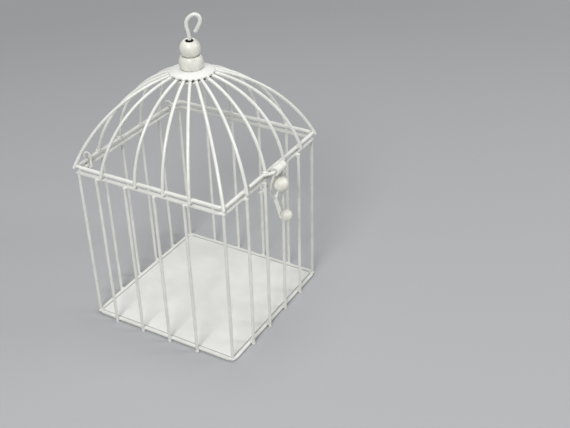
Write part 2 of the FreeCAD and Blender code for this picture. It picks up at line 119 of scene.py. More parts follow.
# Groups of the cage's pieces, by their names
BARS = sorted(name for name in NODES if "_bar_" in name)
RIBS = sorted(name for name in NODES if "_rib_" in name)
SHEETS = ["floor_panel", "crown_plate", "retaining_plate"]
BEADS = ["upper_bead", "lower_bead", "catch_ball", "pull_bead"]
WIRES = sorted(set(NODES) - set(SHEETS) - set(BEADS))


def node_centre(name):
    """Middle of a piece's box."""
    low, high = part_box(name)
    return (low + high) / 2


def node_span(name):
    """Size of a piece's box along X, Y and Z."""
    low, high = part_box(name)
    return high - low


def node_radius(name):
    """Half the size of a piece's box along X."""
    return node_span(name).x / 2


BAR_WIRE = node_span("front_bar_1").x
RING_WIRE = node_span("lid_ring").z
HALF_SIDE = (node_span("lid_ring").x - RING_WIRE) / 2
LID_HEIGHT = node_centre("lid_ring").z
BODY_HEIGHT = node_centre("body_ring").z
BASE_HEIGHT = node_centre("bottom_ring").z
SHEET_EDGE = node_radius("floor_panel")
BEAD_BORE = min(math.hypot(vertex.co.x, vertex.co.y) for vertex in NODES["upper_bead"].data.vertices)

# Turn of the photograph's camera about the cage
PHOTO_HEADING = math.radians(-59.8)

# The hook's middle line in millimetres, square to that heading: reach to the eye's side, and rise above
# the upper bead
HOOK_LINE = [(0.0, -7.0), (0.0, -1.0), (-0.1, 3.5), (-0.9, 8.0), (-1.8, 12.6), (-0.9, 18.0), (3.0, 22.1),
             (7.3, 23.5), (10.8, 21.4), (11.6, 17.0), (9.4, 11.6), (6.2, 6.4)]


class CagePaint(bpy.types.PropertyGroup):
    """Colours and gloss of the cage's paint, with the colours of the painted shade in the floor's seam
    and the beads' bores.
    """

    wire_colour: bpy.props.FloatVectorProperty(
        name="Wire enamel", description="Colour of the enamel on the wires",
        default=(0.80, 0.80, 0.755, 1.0), min=0.0, max=1.0, size=4, subtype="COLOR")
    shade_colour: bpy.props.FloatVectorProperty(
        name="Thin enamel", description="Colour where the enamel is thin",
        default=(0.74, 0.74, 0.69, 1.0), min=0.0, max=1.0, size=4, subtype="COLOR")
    stain_colour: bpy.props.FloatVectorProperty(
        name="Weld stain", description="Colour of the stains in the crevices of the welds",
        default=(0.36, 0.35, 0.31, 1.0), min=0.0, max=1.0, size=4, subtype="COLOR")
    sheet_colour: bpy.props.FloatVectorProperty(
        name="Sheet enamel", description="Colour of the enamel on the floor and the plates",
        default=(0.82, 0.82, 0.79, 1.0), min=0.0, max=1.0, size=4, subtype="COLOR")
    # Painted shade: this near-black colour stands in for the shadow deep in the beads' bores and on the
    # hook's shank inside them
    bore_shade_colour: bpy.props.FloatVectorProperty(
        name="Painted bore shade", description="Colour of the bores that the beads' paint didn't reach",
        default=(0.035, 0.03, 0.032, 1.0), min=0.0, max=1.0, size=4, subtype="COLOR")
    # Painted shade: this dark colour stands in for the shadow in the gap between the floor sheet and the
    # bottom ring
    seam_shade_colour: bpy.props.FloatVectorProperty(
        name="Seam", description="Colour of the seam round the floor sheet",
        default=(0.22, 0.22, 0.20, 1.0), min=0.0, max=1.0, size=4, subtype="COLOR")
    bead_colour: bpy.props.FloatVectorProperty(
        name="Bead paint", description="Colour of the paint on the wooden beads",
        default=(0.80, 0.79, 0.71, 1.0), min=0.0, max=1.0, size=4, subtype="COLOR")
    wire_roughness: bpy.props.FloatProperty(
        name="Wire roughness", description="Roughness of the wires' enamel",
        default=0.34, min=0.0, max=1.0, subtype="FACTOR")
    sheet_roughness: bpy.props.FloatProperty(
        name="Sheet roughness", description="Roughness of the sheets' enamel",
        default=0.52, min=0.0, max=1.0, subtype="FACTOR")
    bead_roughness: bpy.props.FloatProperty(
        name="Bead roughness", description="Roughness of the beads' paint",
        default=0.42, min=0.0, max=1.0, subtype="FACTOR")


class CageWelds(bpy.types.PropertyGroup):
    """Sizes of the weld beads where wires meet and of the drops of paint where they end."""

    reach: bpy.props.FloatProperty(
        name="Reach", description="Half length of a weld bead along the wires",
        default=2.5 * MM, subtype="DISTANCE", unit="LENGTH")
    depth: bpy.props.FloatProperty(
        name="Depth", description="Half thickness of a weld bead from wire to wire",
        default=1.45 * MM, subtype="DISTANCE", unit="LENGTH")
    unevenness: bpy.props.FloatProperty(
        name="Unevenness", description="Share by which weld beads differ in size",
        default=0.16, min=0.0, max=1.0, subtype="FACTOR")
    cap_share: bpy.props.FloatProperty(
        name="Cap share", description="Width of the paint drops on cut ends as a share of the wire",
        default=1.06, min=0.0)
    base_lift: bpy.props.FloatProperty(
        name="Base lift", description="Rise of the welds on the bottom ring above its middle",
        default=0.5 * MM, subtype="DISTANCE", unit="LENGTH")
    foot_height: bpy.props.FloatProperty(
        name="Foot height", description="Height of the paint beads on the bars' feet",
        default=1.3 * MM, subtype="DISTANCE", unit="LENGTH")
    foot_share: bpy.props.FloatProperty(
        name="Foot share", description="Size of the paint beads on the feet as a share of the reach",
        default=0.8, min=0.0, max=1.0, subtype="FACTOR")
    crown_inset: bpy.props.FloatProperty(
        name="Crown inset", description="Distance of the ribs' welds in from the crown plate's edge",
        default=1.0 * MM, subtype="DISTANCE", unit="LENGTH")
    ring_corner: bpy.props.FloatProperty(
        name="Ring corner", description="Bend radius of the rings' corners",
        default=7 * MM, subtype="DISTANCE", unit="LENGTH")


class CageFittings(bpy.types.PropertyGroup):
    """Sizes of the turned beads and of the hasp's barrel and tail."""

    lip: bpy.props.FloatProperty(
        name="Lip", description="Radius of the lips of the beads' bores",
        default=1.4 * MM, subtype="DISTANCE", unit="LENGTH")
    rim: bpy.props.FloatProperty(
        name="Rim", description="Radius of the rim of the lower bead's hollow",
        default=1.7 * MM, subtype="DISTANCE", unit="LENGTH")
    seat_gap: bpy.props.FloatProperty(
        name="Seat gap", description="Gap between the upper bead and the hollow under it",
        default=0.45 * MM, subtype="DISTANCE", unit="LENGTH")
    lean: bpy.props.FloatProperty(
        name="Lean", description="Angle by which the upper bead leans on its shank",
        default=math.radians(8), subtype="ANGLE", unit="ROTATION")
    collar: bpy.props.FloatProperty(
        name="Collar", description="Radius of the paint collars where wires enter the hasp's balls",
        default=0.9 * MM, subtype="DISTANCE", unit="LENGTH")
    hasp_wire: bpy.props.FloatProperty(
        name="Hasp wire", description="Diameter of the hasp's wire",
        default=2.4 * MM, subtype="DISTANCE", unit="LENGTH")
    throat_back: bpy.props.FloatProperty(
        name="Throat back", description="Distance of the tail's throat behind the barrel's axis",
        default=5.3 * MM, subtype="DISTANCE", unit="LENGTH")
    throat_drop: bpy.props.FloatProperty(
        name="Throat drop", description="Drop from the barrel's axis to the throat of the tail",
        default=36.3 * MM, subtype="DISTANCE", unit="LENGTH")
    heel_out: bpy.props.FloatProperty(
        name="Heel out", description="Distance of the tail's heel in front of the barrel's axis",
        default=1.9 * MM, subtype="DISTANCE", unit="LENGTH")
    heel_drop: bpy.props.FloatProperty(
        name="Heel drop", description="Drop from the barrel's axis to the tail's heel",
        default=58.5 * MM, subtype="DISTANCE", unit="LENGTH")
    barrel_bore: bpy.props.FloatProperty(
        name="Barrel bore", description="Diameter of the bore of the hasp's barrel",
        default=4.0 * MM, subtype="DISTANCE", unit="LENGTH")
    barrel_groove: bpy.props.FloatProperty(
        name="Barrel groove", description="Depth of the grooves between the barrel's turns",
        default=0.45 * MM, subtype="DISTANCE", unit="LENGTH")
    barrel_turns: bpy.props.IntProperty(
        name="Barrel turns", description="Turns of wire in the hasp's barrel",
        default=7, min=1)


class CageStage(bpy.types.PropertyGroup):
    """Studio floor, lights and camera."""

    floor_colour: bpy.props.FloatVectorProperty(
        name="Floor", description="Colour of the studio floor",
        default=(0.44, 0.445, 0.455, 1.0), min=0.0, max=1.0, size=4, subtype="COLOR")
    floor_radius: bpy.props.FloatProperty(
        name="Floor radius", description="Radius of the studio floor",
        default=2.2, subtype="DISTANCE", unit="LENGTH")
    fade_start: bpy.props.FloatProperty(
        name="Fade start", description="Distance at which the floor starts to fade into the backdrop",
        default=0.9, subtype="DISTANCE", unit="LENGTH")
    ambient_colour: bpy.props.FloatVectorProperty(
        name="Ambient colour", description="Colour of the light from all round",
        default=(0.95, 0.97, 1.0, 1.0), min=0.0, max=1.0, size=4, subtype="COLOR")
    world_strength: bpy.props.FloatProperty(
        name="Ambient", description="Strength of the light from all round",
        default=0.19, min=0.0)
    backdrop_strength: bpy.props.FloatProperty(
        name="Backdrop", description="Brightness of the backdrop past the floor, where 1 is white",
        default=0.50, min=0.0, max=1.0, subtype="FACTOR")
    left_power: bpy.props.FloatProperty(
        name="Left softbox", description="Power of the softbox on the left",
        default=38.0, min=0.0, unit="POWER")
    right_power: bpy.props.FloatProperty(
        name="Right softbox", description="Power of the softbox on the right",
        default=19.0, min=0.0, unit="POWER")
    top_power: bpy.props.FloatProperty(
        name="Top softbox", description="Power of the softbox overhead",
        default=19.0, min=0.0, unit="POWER")
    left_place: bpy.props.FloatVectorProperty(
        name="Left place", description="Place of the softbox on the left",
        default=(-1.8, -0.5, 1.7), subtype="TRANSLATION", unit="LENGTH")
    right_place: bpy.props.FloatVectorProperty(
        name="Right place", description="Place of the softbox on the right",
        default=(0.9, -1.9, 1.4), subtype="TRANSLATION", unit="LENGTH")
    top_place: bpy.props.FloatVectorProperty(
        name="Top place", description="Place of the softbox overhead",
        default=(0.2, 0.2, 2.5), subtype="TRANSLATION", unit="LENGTH")
    side_width: bpy.props.FloatProperty(
        name="Side width", description="Width of the softboxes on the left and right",
        default=0.8, subtype="DISTANCE", unit="LENGTH")
    top_width: bpy.props.FloatProperty(
        name="Top width", description="Width of the softbox overhead",
        default=1.0, subtype="DISTANCE", unit="LENGTH")
    camera_azimuth: bpy.props.FloatProperty(
        name="Azimuth", description="Turn of the camera about the cage",
        default=PHOTO_HEADING, subtype="ANGLE", unit="ROTATION")
    camera_elevation: bpy.props.FloatProperty(
        name="Elevation", description="Angle of the camera above level",
        default=math.radians(31.82), subtype="ANGLE", unit="ROTATION")
    camera_roll: bpy.props.FloatProperty(
        name="Roll", description="Roll of the camera",
        default=math.radians(-1.28), subtype="ANGLE", unit="ROTATION")
    camera_distance: bpy.props.FloatProperty(
        name="Distance", description="Distance of the camera from the point it aims at",
        default=0.959, subtype="DISTANCE", unit="LENGTH")
    aim_height: bpy.props.FloatProperty(
        name="Aim height", description="Height of the level that the camera aims at",
        default=0.1068, subtype="DISTANCE", unit="LENGTH")
    aim_right: bpy.props.FloatProperty(
        name="Aim right", description="Distance by which the camera aims to the right of the cage",
        default=0.0893, subtype="DISTANCE", unit="LENGTH")
    lens: bpy.props.FloatProperty(
        name="Lens", description="Focal length in millimetres on a sensor 36 mm wide",
        default=55.39, min=1.0, unit="CAMERA")


# Materials

class NodeSheet:
    """The node tree of a material or a world, with short calls to add and join its nodes."""

    def __init__(self, owner, shader):
        owner.use_nodes = True
        self.owner = owner
        self.tree = owner.node_tree
        self.shader = self.tree.nodes[shader]

    def join(self, source, target):
        """A link from an output to an input, or a plain value on the input."""
        if isinstance(source, bpy.types.NodeSocket):
            self.tree.links.new(source, target)
        else:
            target.default_value = source

    def add(self, kind, inputs=None, **settings):
        """A new node with the given settings, and with outputs or plain values on its inputs."""
        node = self.tree.nodes.new(kind)
        for key, value in settings.items():
            setattr(node, key, value)
        for socket, source in (inputs or {}).items():
            self.join(source, node.inputs[socket])
        return node

    def give(self, socket, source):
        """An output or a plain value on one of the shader's inputs."""
        self.join(source, self.shader.inputs[socket])

    def measure(self, operation, *values):
        """The result of a sum on outputs and numbers."""
        return self.add("ShaderNodeMath", dict(enumerate(values)), operation=operation).outputs["Value"]

    def between(self, factor, low, high):
        """A number that runs from low to high with the factor."""
        node = self.add("ShaderNodeMapRange", {"Value": factor, "To Min": low, "To Max": high})
        return node.outputs["Result"]


class PaintSheet(NodeSheet):
    """The node tree of a new material, with patterns on the place that is shaded."""

    def __init__(self, name):
        super().__init__(bpy.data.materials.new(name), "Principled BSDF")
        self.place = self.add("ShaderNodeTexCoord").outputs["Object"]

    def noise(self, scale, detail=3.0, roughness=0.5, stretch=(1, 1, 1)):
        """The factor of a noise texture with features of about one over the scale, in metres."""
        mapping = self.add("ShaderNodeMapping", {"Vector": self.place, "Scale": stretch})
        texture = self.add("ShaderNodeTexNoise", {"Vector": mapping.outputs["Vector"], "Scale": scale,
                                                  "Detail": detail, "Roughness": roughness})
        return texture.outputs["Fac"]

    def axes(self, centre=(0, 0, 0), turn=(0, 0, 0)):
        """The X, Y and Z of the place that is shaded, from a centre and along turned axes."""
        inputs = {"Vector": self.place, "Location": centre, "Rotation": turn}
        mapping = self.add("ShaderNodeMapping", inputs, vector_type="TEXTURE")
        node = self.add("ShaderNodeSeparateXYZ", {"Vector": mapping.outputs["Vector"]})
        return node.outputs["X"], node.outputs["Y"], node.outputs["Z"]

    def ramp(self, factor, start, end):
        """A factor stretched so that start gives 0 and end gives 1."""
        node = self.add("ShaderNodeMapRange", {"Value": factor, "From Min": start, "From Max": end},
                        interpolation_type="SMOOTHSTEP")
        return node.outputs["Result"]

    def blend(self, factor, first, second):
        """A colour that runs from the first to the second with the factor."""
        node = self.add("ShaderNodeMix", {"Factor": factor, MIX_FIRST: first, MIX_SECOND: second},
                        data_type="RGBA")
        return node.outputs[MIX_RESULT]

    def bump(self, height, strength, distance, under=None):
        """A bumped normal, on top of another where one is given."""
        node = self.add("ShaderNodeBump", {"Height": height, "Strength": strength, "Distance": distance})
        if under is not None:
            self.join(under, node.inputs["Normal"])
        return node.outputs["Normal"]

    def uneven_gloss(self, roughness, spread, scale):
        """A roughness that wanders by up to the spread either side."""
        gloss = self.between(self.noise(scale), low=roughness - spread, high=roughness + spread)
        self.give("Roughness", gloss)


def thinned(colour, share):
    """A colour as a thinner coat shows it."""
    return (*(channel * share for channel in colour[:3]), 1.0)


def wire_enamel(paint, name="cage_wire", bore_shade_height=None):
    """Gloss enamel dipped over wire: uneven thickness, faint runs and orange peel.

    Where a bore shade height is given, the wire is painted near black below it, as painted shade for the
    shadow inside a bead's bore.
    """
    sheet = PaintSheet(name)
    thick = sheet.ramp(sheet.noise(scale=70, detail=4, roughness=0.6), start=0.38, end=0.62)
    colour = sheet.blend(thick, paint.shade_colour, paint.wire_colour)
    if bore_shade_height is not None:
        # Painted shade: the wire turns near black below the bead's mouth, where it runs into the shadowed
        # bore
        _, _, rise = sheet.axes()
        bore_shade = sheet.ramp(rise, start=bore_shade_height + HOOK_FADE, end=bore_shade_height - HOOK_FADE)
        colour = sheet.blend(bore_shade, colour, paint.bore_shade_colour)
    sheet.give("Base Color", colour)
    sheet.uneven_gloss(paint.wire_roughness, spread=0.08, scale=160)
    runs = sheet.bump(sheet.noise(scale=240, stretch=(1, 1, 0.35)), strength=0.35, distance=0.3 * MM)
    peel = sheet.bump(sheet.noise(scale=1500, detail=1), strength=0.12, distance=0.08 * MM, under=runs)
    sheet.give("Normal", peel)
    sheet.give("Coat Weight", 0.25)
    sheet.give("Coat Roughness", 0.12)
    return sheet.owner


def weld_enamel(paint):
    """Enamel over a weld bead: lumpy, with stains where the paint didn't reach the crevice."""
    sheet = PaintSheet("cage_weld")
    thick = sheet.ramp(sheet.noise(scale=110, detail=4), start=0.35, end=0.65)
    painted = sheet.blend(thick, paint.shade_colour, paint.wire_colour)
    spots = sheet.ramp(sheet.noise(scale=420, detail=3), start=0.66, end=0.80)
    sheet.give("Base Color", sheet.blend(spots, painted, paint.stain_colour))
    stain_roughness = paint.wire_roughness + 0.3
    sheet.give("Roughness", sheet.between(spots, low=paint.wire_roughness, high=stain_roughness))
    sheet.give("Normal", sheet.bump(sheet.noise(scale=700, detail=2), strength=0.5, distance=0.3 * MM))
    return sheet.owner


def sheet_enamel(paint):
    """Satin enamel on thin sheet: clouded, slightly waved, with painted shade darkening the seam at the
    floor's edge.
    """
    sheet = PaintSheet("cage_sheet")
    cloud = sheet.ramp(sheet.noise(scale=22, detail=5, roughness=0.6), start=0.35, end=0.65)
    clouded = sheet.blend(cloud, thinned(paint.sheet_colour, share=0.93), paint.sheet_colour)
    across, along, _ = sheet.axes()
    reach = sheet.measure("MAXIMUM", sheet.measure("ABSOLUTE", across), sheet.measure("ABSOLUTE", along))
    broken = sheet.between(sheet.noise(scale=90), low=0.35, high=1.0)
    # Painted shade: the sheet darkens towards its edge, where the gap under the bottom ring lies in
    # shadow
    edge = sheet.ramp(reach, start=SHEET_EDGE - SEAM_SHADE_START, end=SHEET_EDGE - SEAM_SHADE_FULL)
    seam = sheet.measure("MULTIPLY", edge, broken)
    sheet.give("Base Color", sheet.blend(seam, clouded, paint.seam_shade_colour))
    sheet.uneven_gloss(paint.sheet_roughness, spread=0.07, scale=60)
    waves = sheet.bump(sheet.noise(scale=14, detail=1), strength=0.3, distance=1.2 * MM)
    peel = sheet.bump(sheet.noise(scale=1100, detail=2), strength=0.1, distance=0.08 * MM, under=waves)
    sheet.give("Normal", peel)
    sheet.give("Specular IOR Level", 0.35)
    return sheet.owner


def bead_paint(paint, name="cage_bead", centre=(0, 0, 0), heading=UP):
    """Gloss paint over turned wood: creamy, with faint grain under the coat and painted shade in the
    bore.

    The bore runs through the centre along the heading.
    """
    sheet = PaintSheet(name)
    cloud = sheet.ramp(sheet.noise(scale=120, detail=4), start=0.35, end=0.65)
    coated = sheet.blend(cloud, thinned(paint.bead_colour, share=0.9), paint.bead_colour)
    across, along, _ = sheet.axes(centre, UP.rotation_difference(heading).to_euler())
    squares = [sheet.measure("POWER", reach, 2.0) for reach in (across, along)]
    from_axis = sheet.measure("SQRT", sheet.measure("ADD", *squares))
    # Painted shade: near black round the bore, for the shadow inside the hole
    bore = sheet.ramp(from_axis, start=BEAD_BORE + BORE_START, end=BEAD_BORE + BORE_FULL)
    sheet.give("Base Color", sheet.blend(bore, coated, paint.bore_shade_colour))
    sheet.uneven_gloss(paint.bead_roughness, spread=0.06, scale=180)
    fibres = sheet.noise(scale=300, detail=1, stretch=(1.6, 1.6, 0.2))
    grain = sheet.bump(fibres, strength=0.4, distance=0.3 * MM)
    peel = sheet.bump(sheet.noise(scale=1400, detail=1), strength=0.1, distance=0.06 * MM, under=grain)
    sheet.give("Normal", peel)
    sheet.give("Coat Weight", 0.15)
    sheet.give("Coat Roughness", 0.3)
    return sheet.owner


def studio_paper(stage):
    """Matt paper of the studio floor, which fades into the backdrop far from the cage."""
    sheet = PaintSheet("studio_paper")
    sheet.give("Base Color", stage.floor_colour)
    sheet.give("Roughness", 0.9)
    sheet.give("Specular IOR Level", 0.2)
    away = sheet.add("ShaderNodeVectorMath", {"Vector": sheet.place}, operation="LENGTH")
    fade = sheet.ramp(away.outputs["Value"], start=stage.fade_start, end=stage.floor_radius)
    clear = sheet.add("ShaderNodeBsdfTransparent")
    layers = [fade, sheet.shader.outputs["BSDF"], clear.outputs["BSDF"]]
    faded = sheet.add("ShaderNodeMixShader", dict(enumerate(layers)))
    sheet.join(faded.outputs["Shader"], sheet.tree.nodes["Material Output"].inputs["Surface"])
    return sheet.owner


def finish(name, maker, *arguments):
    """The material of that name, made by its maker the first time it is asked for."""
    return bpy.data.materials.get(name) or maker(*arguments)


def paint_node(name, material):
    """Give one piece of the frame a material."""
    slots = NODES[name].data.materials
    slots.clear()
    slots.append(material)


# Meshes

def new_piece(name, shape, material, body):
    """A finished piece from a bmesh: smooth, painted and riding on a body."""
    bmesh.ops.recalc_face_normals(shape, faces=shape.faces)
    for face in shape.faces:
        face.smooth = True
    mesh = bpy.data.meshes.new(name)
    shape.to_mesh(mesh)
    shape.free()
    mesh.materials.append(material)
    piece = bpy.data.objects.new(name, mesh)
    bpy.context.scene.collection.objects.link(piece)
    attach(piece, body)
    return piece


def axes_matrix(first, second, third, place):
    """A matrix whose columns are three axes and a place."""
    matrix = Matrix((first, second, third)).transposed().to_4x4()
    matrix.translation = place
    return matrix


def arc_points(centre, radius, start, end, steps):
    """Points of an arc in the XZ plane, between two angles from +X towards +Z."""
    points = []
    for index in range(steps + 1):
        angle = start + (end - start) * index / steps
        points.append(centre + Vector((math.cos(angle), 0, math.sin(angle))) * radius)
    return points


def spun(outline, place, heading=UP, closed=True):
    """An outline in the XZ plane spun about Z, then turned to a heading and put in place."""
    shape = bmesh.new()
    verts = [shape.verts.new(point) for point in outline]
    followers = verts[1:] + verts[:1] if closed else verts[1:]
    edges = [shape.edges.new(pair) for pair in zip(verts, followers)]
    bmesh.ops.spin(shape, geom=verts + edges, cent=(0, 0, 0), axis=UP, angle=math.tau,
                   steps=SPIN_STEPS, use_merge=True)
    bmesh.ops.remove_doubles(shape, verts=shape.verts, dist=MERGE_DISTANCE)
    turn = UP.rotation_difference(heading).to_matrix().to_4x4()
    bmesh.ops.transform(shape, matrix=Matrix.Translation(place) @ turn, verts=shape.verts)
    return shape


def bore_lip(radius, bore, lip):
    """Where a rounded lip joins a ball to its bore: the lip's centre and the ball's angle there."""
    reach = bore + lip
    centre = Vector((reach, 0, math.sqrt((radius - lip) ** 2 - reach ** 2)))
    return centre, math.atan2(centre.z, centre.x)


def lower_lip(radius, bore, lip):
    """Points of the rounded lip at the lower end of a ball's bore, from the ball to the bore."""
    centre, angle = bore_lip(radius, bore, lip)
    centre.z = -centre.z
    return arc_points(centre, lip, -angle, -math.pi, LIP_STEPS)


def bored_ball(radius, bore, lip):
    """Outline of a ball with a bore through it and rounded lips."""
    centre, angle = bore_lip(radius, bore, lip)
    top = arc_points(centre, lip, math.pi, angle, LIP_STEPS)
    side = arc_points(Vector(), radius, angle, -angle, BALL_STEPS)
    return top + side[1:-1] + lower_lip(radius, bore, lip)


def hollowed_ball(radius, bore, lip, hollow, hollow_height):
    """Outline of a bored ball whose top is hollowed out by a larger curve, with a rounded rim."""
    inner = radius - lip
    outer = hollow + lip
    rim_height = (inner ** 2 - outer ** 2 + hollow_height ** 2) / (2 * hollow_height)
    rim = Vector((math.sqrt(inner ** 2 - rim_height ** 2), 0, rim_height))
    above = Vector((0, 0, hollow_height))
    bowl_start = -math.acos(bore / hollow)
    bowl_end = math.atan2(rim.z - above.z, rim.x)
    bowl = arc_points(above, hollow, bowl_start, bowl_end, BALL_STEPS)
    rim_start = math.atan2(above.z - rim.z, -rim.x)
    rim_end = math.atan2(rim.z, rim.x)
    edge = arc_points(rim, lip, rim_start, rim_end, LIP_STEPS)
    _, angle = bore_lip(radius, bore, lip)
    side = arc_points(Vector(), radius, rim_end, -angle, BALL_STEPS)
    return bowl + edge[1:] + side[1:-1] + lower_lip(radius, bore, lip)


def collared_ball(radius, stem, collar):
    """Outline of a ball with a collar of paint that runs out onto a stem at its top."""
    reach = stem + collar
    centre = Vector((reach, 0, math.sqrt((radius + collar) ** 2 - reach ** 2)))
    angle = math.atan2(centre.z, centre.x)
    side = arc_points(Vector(), radius, -math.pi / 2, angle, BALL_STEPS)
    flare = arc_points(centre, collar, angle - math.pi, -math.pi, LIP_STEPS)
    return side + flare[1:] + [Vector((0, 0, centre.z))]


def ridged_tube(radius, bore, length, turns, groove):
    """Outline of a tube wound from wire: one round ridge for each turn."""
    outline = [Vector((bore, 0, -length / 2))]
    pitch = length / turns
    for turn in range(turns):
        middle = Vector((radius - groove, 0, (turn + 0.5) * pitch - length / 2))
        for point in arc_points(Vector(), 1, -math.pi / 2, math.pi / 2, RIDGE_STEPS):
            outline.append(middle + Vector((point.x * groove, 0, point.z * pitch / 2)))
    outline.append(Vector((bore, 0, length / 2)))
    return outline


def smooth_path(points):
    """A smooth line through points."""
    line = []
    spread = [points[0]] + points + [points[-1]]
    for before, start, end, after in zip(spread, spread[1:], spread[2:], spread[3:]):
        leaving = start + (end - before) / HANDLE_PARTS
        arriving = end - (after - start) / HANDLE_PARTS
        line += interpolate_bezier(start, leaving, arriving, end, PATH_STEPS + 1)[:-1]
    return line + [points[-1]]


def swept_wire(line, radius, side):
    """A round wire along a flat line, with a softened free end. The side is square to the line."""
    ahead = (line[-1] - line[-2]).normalized()
    sections = [(place, radius) for place in line]
    for step in range(1, END_STEPS + 1):
        angle = step / END_STEPS * END_TURN
        depth = ahead * math.sin(angle) * radius / END_FLATNESS
        sections.append((line[-1] + depth, radius * math.cos(angle)))
    shape = bmesh.new()
    last = len(sections) - 1
    loop = []
    for index, (place, width) in enumerate(sections):
        heading = (sections[min(index + 1, last)][0] - sections[max(index - 1, 0)][0]).normalized()
        matrix = axes_matrix(side, heading.cross(side), heading, place)
        ring = bmesh.ops.create_circle(shape, cap_ends=index in (0, last), segments=WIRE_SIDES,
                                       radius=width, matrix=matrix)
        edges = list({edge for vert in ring["verts"] for edge in vert.link_edges})
        if loop:
            bmesh.ops.bridge_loops(shape, edges=loop + edges)
        loop = edges
    return shape


def nearest_on_ring(place, corner):
    """The point of a ring's middle line that lies nearest to a place outside it, seen from above."""
    inner = HALF_SIDE - corner
    core = Vector((max(-inner, min(inner, place.x)), max(-inner, min(inner, place.y)), 0))
    outward = Vector((place.x, place.y, 0)) - core
    return core + outward.normalized() * corner


def lowest_end(name, depth):
    """Middle of the points of a piece that lie less than a depth above its lowest point."""
    points = [vertex.co for vertex in NODES[name].data.vertices]
    lowest = min(point.z for point in points)
    ends = [point for point in points if point.z < lowest + depth]
    return sum(ends, Vector()) / len(ends)


def cut_end(name, guess):
    """Middle and heading of the flat cut at the end of a wire that lies farthest along a guess."""
    faces = NODES[name].data.polygons
    tip = max(faces, key=lambda face: guess.dot(face.center))
    cut = [face for face in faces
           if face.normal.dot(tip.normal) > FLATNESS and (face.center - tip.center).length < RING_WIRE]
    middle = sum((face.center * face.area for face in cut), Vector()) / sum(face.area for face in cut)
    return middle, tip.normal.copy()


class WeldLayer:
    """Weld beads of one body, each a little different from the last."""

    def __init__(self, settings, seed):
        self.settings = settings
        self.shape = bmesh.new()
        self.luck = random.Random(seed)

    def vary(self, half):
        """A half size changed by a small chance amount."""
        return half * (1 + self.luck.uniform(-1, 1) * self.settings.unevenness)

    def lay(self, place, normal, along, reach=1.0, depth=1.0, length=1.0):
        """One lump between two wires that meet at a place, flat along the normal, long along the wire.

        Its reach, depth and length are shares of the set sizes.
        """
        normal = normal.normalized()
        along = along.normalized()
        across = normal.cross(along)
        thick = self.vary(self.settings.depth * depth)
        long = self.vary(self.settings.reach * reach * length)
        wide = self.vary(self.settings.reach * reach)
        matrix = axes_matrix(normal * thick, along * long, across * wide, place)
        lump = bmesh.ops.create_icosphere(self.shape, subdivisions=LUMP_DIVISIONS, radius=1.0,
                                          matrix=matrix)
        for vert in lump["verts"]:
            swell = noise.noise(vert.co * LUMPS_PER_METRE) * self.settings.unevenness
            vert.co += (vert.co - place) * swell

    def cap(self, name, guess, wire):
        """A rounded drop of paint over the cut end of a wire."""
        place, heading = cut_end(name, guess)
        side = heading.orthogonal()
        share = wire * self.settings.cap_share / self.settings.reach / 2
        self.lay(place, heading, side, reach=share, depth=share)

    def close(self, name, body):
        """Finish the layer as one piece."""
        material = finish("cage_weld", weld_enamel, bpy.context.scene.cage_paint)
        new_piece(name, self.shape, material, body)


# Operators

class CAGE_OT_paint_wires(bpy.types.Operator):
    """Enamel the rings, bars, ribs, hinge loops, pin, hasp and hook."""

    bl_idname = "cage.paint_wires"
    bl_label = "Paint Wires"

    def execute(self, context):
        material = finish("cage_wire", wire_enamel, context.scene.cage_paint)
        for name in WIRES:
            paint_node(name, material)
        return {"FINISHED"}


class CAGE_OT_paint_sheets(bpy.types.Operator):
    """Enamel the floor sheet, the crown plate and the retaining plate."""

    bl_idname = "cage.paint_sheets"
    bl_label = "Paint Sheets"

    def execute(self, context):
        material = finish("cage_sheet", sheet_enamel, context.scene.cage_paint)
        for name in SHEETS:
            paint_node(name, material)
        return {"FINISHED"}


class CAGE_OT_turn_finial(bpy.types.Operator):
    """Turn the finial's beads, with rounded lips and the hollow in which the upper one sits and leans."""

    bl_idname = "cage.turn_finial"
    bl_label = "Turn Finial Beads"

    def execute(self, context):
        fittings = context.scene.cage_fittings
        paint = context.scene.cage_paint
        upper_radius = node_radius("upper_bead")
        lower_radius = node_radius("lower_bead")
        upper_place = node_centre("upper_bead")
        lower_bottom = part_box("lower_bead")[0].z
        lower_place = UP * (lower_bottom + math.sqrt(lower_radius ** 2 - BEAD_BORE ** 2))
        upper = bored_ball(upper_radius, BEAD_BORE, fittings.lip)
        lower = hollowed_ball(lower_radius, BEAD_BORE, fittings.rim, upper_radius + fittings.seat_gap,
                              upper_place.z - lower_place.z)
        nearer = Vector((math.sin(PHOTO_HEADING), -math.cos(PHOTO_HEADING), 0))
        leaning = UP * math.cos(fittings.lean) + nearer * math.sin(fittings.lean)
        name = "cage_bead_leaning"
        material = finish(name, bead_paint, paint, name, upper_place, leaning)
        piece = new_piece("upper_bead_turned", spun(upper, upper_place, leaning), material,
                          "upper_bead")
        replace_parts(piece, "upper_bead")
        material = finish("cage_bead", bead_paint, paint)
        piece = new_piece("lower_bead_turned", spun(lower, lower_place), material,
                          "lower_bead")
        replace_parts(piece, "lower_bead")
        return {"FINISHED"}


